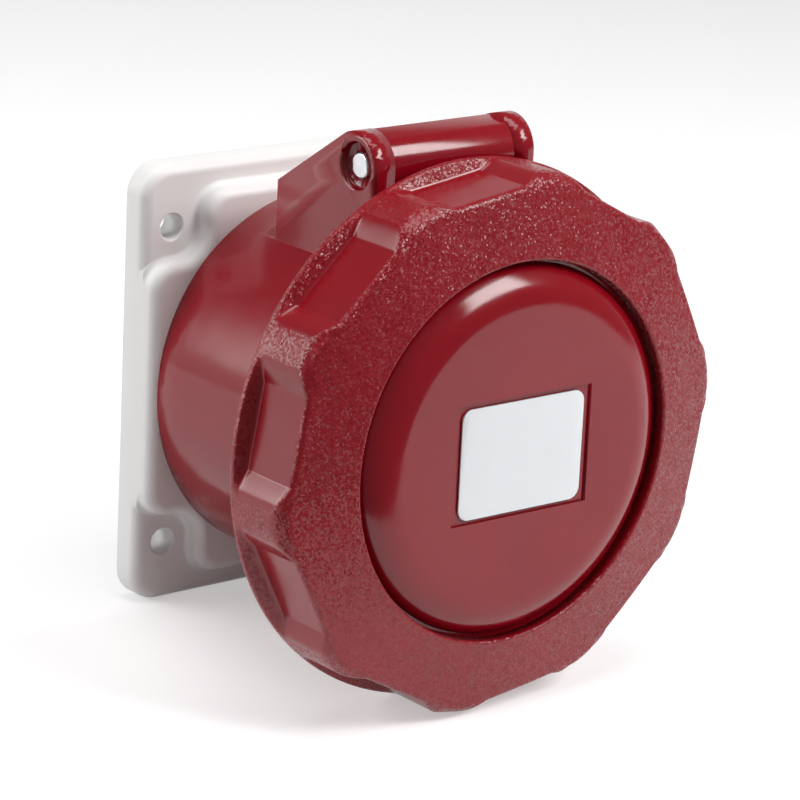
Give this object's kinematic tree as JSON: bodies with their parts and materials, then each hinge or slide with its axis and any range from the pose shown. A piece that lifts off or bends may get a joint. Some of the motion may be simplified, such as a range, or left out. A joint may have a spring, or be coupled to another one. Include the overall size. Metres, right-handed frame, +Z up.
{
  "type": "industrial panel socket",
  "caption": "Straight watertight panel socket with a rectangular flange, a hinged lid and a bayonet locking ring with finger pockets.",
  "frame": {"origin": "centre of the mounting hole pattern in the plane of the flange's back face", "axes": "+Y into the panel along the socket's centre line, -Y out of the panel towards the plug, +Z up towards the hinge"},
  "size_m": [0.137, 0.1124, 0.1433],
  "materials": {
    "flange_grey": "smooth satin moulding",
    "gloss_red": "glossy moulding",
    "textured_red": "fine spark-eroded grain with glossy finger pockets",
    "rubber": "matt",
    "insulator_black": "satin moulding",
    "brass": "turned",
    "zinc_steel": "bright zinc plating",
    "label_white": "smooth, bare"
  },
  "bodies": {
    "socket": {"flange": "flange_grey", "flange_gasket": "rubber", "socket_barrel": "gloss_red", "barrel_seal": "rubber", "barrel_screws": "zinc_steel", "contact_carrier": "insulator_black", "terminal_block": "insulator_black", "carrier_screws": "zinc_steel", "contact_l1": "brass", "contact_l2": "brass", "contact_l3": "brass", "neutral_contact": "brass", "earth_contact": "brass", "pilot_contact": "brass", "sleeve_springs": "zinc_steel", "terminal_screws": "zinc_steel", "hinge_pin": "zinc_steel", "lid_spring": "zinc_steel"},
    "lid": {"lid": "gloss_red", "lid_gasket": "rubber", "label_plate": "label_white"},
    "ring": {"locking_ring": "textured_red", "ring_retainer": "insulator_black"}
  },
  "joints": [
    {"name": "lid_hinge", "type": "hinge", "parent": "socket", "child": "lid", "pos_m": [0, -0.0594, 0.0662], "axis": [-1, 0, 0], "range_deg": [0, 110], "stiffness_Nm_per_rad": 0.05, "springref_deg": -45.84, "deforming": ["lid_spring"]},
    {"name": "ring_turn", "type": "hinge", "parent": "lid", "child": "ring", "pos_m": [0, -0.084, 0], "axis": [0, 1, 0], "range_deg": [0, 45]}
  ]
}
